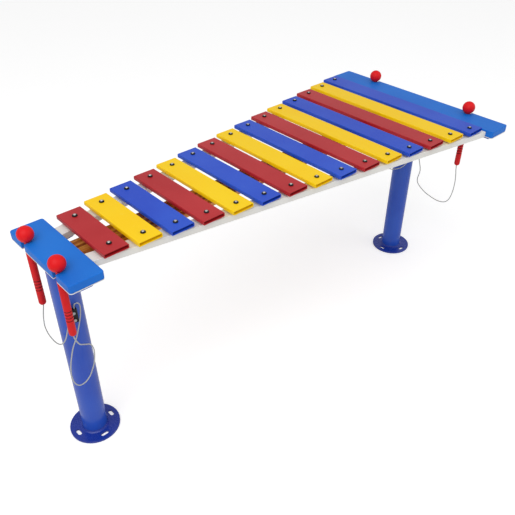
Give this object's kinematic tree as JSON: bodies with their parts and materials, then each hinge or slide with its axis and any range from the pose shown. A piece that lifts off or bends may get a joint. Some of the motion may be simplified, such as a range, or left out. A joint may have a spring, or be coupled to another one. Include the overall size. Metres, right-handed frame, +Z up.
{
  "type": "outdoor metallophone",
  "caption": "Free-standing outdoor metallophone: hollow metal bars on two splayed rails, two tube legs with base flanges, and tethered ball mallets in notched end boards.",
  "frame": {"origin": "on the ground, under the middle of the instrument", "axes": "+X along the row of bars towards the long bars, +Y away from the player, +Z up"},
  "size_m": [1.921, 0.858, 0.8383],
  "materials": {
    "bar_red": "satin",
    "bar_yellow": "satin",
    "bar_blue": "satin",
    "board": "matte",
    "pale_plastic": "matte",
    "wood": "satin",
    "leg_paint": "gloss",
    "black_metal": "satin",
    "black_rubber": "matte",
    "mallet_head": "satin",
    "mallet_grip": "satin",
    "mallet_rod": "satin",
    "wire_rope": "satin"
  },
  "bodies": {
    "frame": {"bar_01": "bar_red", "bar_02": "bar_yellow", "bar_03": "bar_blue", "bar_04": "bar_red", "bar_05": "bar_yellow", "bar_06": "bar_blue", "bar_07": "bar_red", "bar_08": "bar_yellow", "bar_09": "bar_blue", "bar_10": "bar_red", "bar_11": "bar_yellow", "bar_12": "bar_blue", "bar_13": "bar_red", "bar_14": "bar_yellow", "bar_15": "bar_blue", "rail_front": "pale_plastic", "rail_back": "pale_plastic", "bar_cushion_front": "black_rubber", "bar_cushion_back": "black_rubber", "end_board_short": "board", "end_board_long": "board", "backing_plate_short": "pale_plastic", "backing_plate_long": "pale_plastic", "leg_short": "leg_paint", "leg_long": "leg_paint", "foot_flange_short": "leg_paint", "foot_flange_long": "leg_paint", "top_plate_short": "leg_paint", "top_plate_long": "leg_paint", "crossbar_short": "leg_paint", "crossbar_long": "leg_paint", "rail_bracket_short_front": "leg_paint", "rail_bracket_short_back": "leg_paint", "rail_bracket_long_front": "leg_paint", "rail_bracket_long_back": "leg_paint", "spine_plank": "wood", "tether_clamp_short": "black_metal", "tether_clamp_long": "black_metal", "tether_short_front": "wire_rope", "tether_short_back": "wire_rope", "tether_long_front": "wire_rope", "tether_long_back": "wire_rope"},
    "mallet_short_front": {"mallet_head_short_front": "mallet_head", "mallet_rod_short_front": "mallet_rod", "mallet_grip_short_front": "mallet_grip"},
    "mallet_short_back": {"mallet_head_short_back": "mallet_head", "mallet_rod_short_back": "mallet_rod", "mallet_grip_short_back": "mallet_grip"},
    "mallet_long_front": {"mallet_head_long_front": "mallet_head", "mallet_rod_long_front": "mallet_rod", "mallet_grip_long_front": "mallet_grip"},
    "mallet_long_back": {"mallet_head_long_back": "mallet_head", "mallet_rod_long_back": "mallet_rod", "mallet_grip_long_back": "mallet_grip"}
  },
  "joints": [
    {"name": "take_out_short_front", "type": "slide", "parent": "frame", "child": "mallet_short_front", "axis": [-1, 0, 0], "range_m": [0, 0.06]},
    {"name": "take_out_short_back", "type": "slide", "parent": "frame", "child": "mallet_short_back", "axis": [-1, 0, 0], "range_m": [0, 0.06]},
    {"name": "take_out_long_front", "type": "slide", "parent": "frame", "child": "mallet_long_front", "axis": [1, 0, 0], "range_m": [0, 0.06]},
    {"name": "take_out_long_back", "type": "slide", "parent": "frame", "child": "mallet_long_back", "axis": [1, 0, 0], "range_m": [0, 0.06]}
  ]
}
